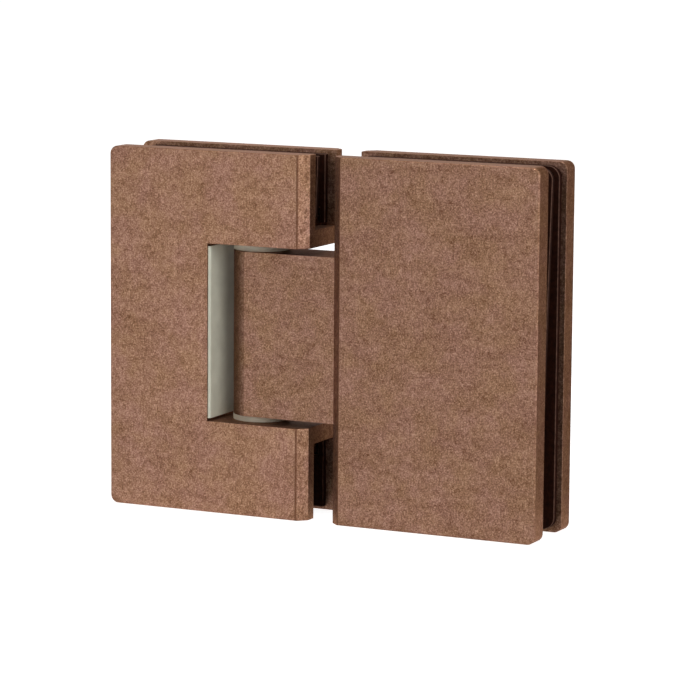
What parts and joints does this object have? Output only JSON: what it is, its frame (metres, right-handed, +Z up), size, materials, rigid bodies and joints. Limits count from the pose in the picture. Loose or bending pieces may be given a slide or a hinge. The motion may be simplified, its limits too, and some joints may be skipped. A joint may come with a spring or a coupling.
{
  "type": "glass door hinge",
  "caption": "Glass-to-glass door hinge: a notched leaf and a plain leaf clamp glass edges and swing through 180 degrees on a turning knuckle.",
  "frame": {"origin": "centre of the base, under the middle of the closed hinge, at the plates' lower edges", "axes": "+Z up along the pin, +X from the fixed leaf to the moving leaf, -Y towards the outer side that the picture shows"},
  "size_m": [0.1154, 0.0222, 0.09],
  "materials": {
    "antique_brass": "antique copper-brown, satin with a fine grain",
    "gasket": "matt, smooth",
    "liner": "smooth satin",
    "washer": "smooth satin",
    "bush": "smooth satin",
    "sleeve": "smooth satin",
    "pin_steel": "ground",
    "screw_steel": "satin stainless",
    "spring_steel": "drawn wire, lightly oiled"
  },
  "bodies": {
    "fixed_leaf": {"fixed_front_plate": "antique_brass", "fixed_back_plate": "antique_brass", "fixed_front_gasket": "gasket", "fixed_back_gasket": "gasket", "fixed_screw_sleeves": "sleeve", "fixed_clamp_screws": "screw_steel", "edge_liner": "gasket", "notch_liner": "liner", "pivot_pin": "pin_steel", "lower_washer": "washer", "pin_lock_screws": "screw_steel"},
    "moving_leaf": {"upper_washer": "washer", "moving_front_plate": "antique_brass", "moving_back_plate": "antique_brass", "moving_front_gasket": "gasket", "moving_back_gasket": "gasket", "moving_screw_sleeves": "sleeve", "moving_clamp_screws": "screw_steel", "lower_bush": "bush", "upper_bush": "bush", "lower_detent_spring": "spring_steel", "lower_detent_adjuster": "screw_steel", "upper_detent_spring": "spring_steel", "upper_detent_adjuster": "screw_steel"},
    "lower_plunger": {"lower_detent_plunger": "pin_steel"},
    "upper_plunger": {"upper_detent_plunger": "pin_steel"}
  },
  "joints": [
    {"name": "door_swing", "type": "hinge", "parent": "fixed_leaf", "child": "moving_leaf", "pos_m": [-0.0207, 0, 0], "axis": [0, 0, 1], "range_deg": [-90, 90]},
    {"name": "lower_plunger_slide", "type": "slide", "parent": "moving_leaf", "child": "lower_plunger", "axis": [-1, 0, 0], "range_m": [0, 0.0007]},
    {"name": "upper_plunger_slide", "type": "slide", "parent": "moving_leaf", "child": "upper_plunger", "axis": [-1, 0, 0], "range_m": [0, 0.0007]}
  ]
}
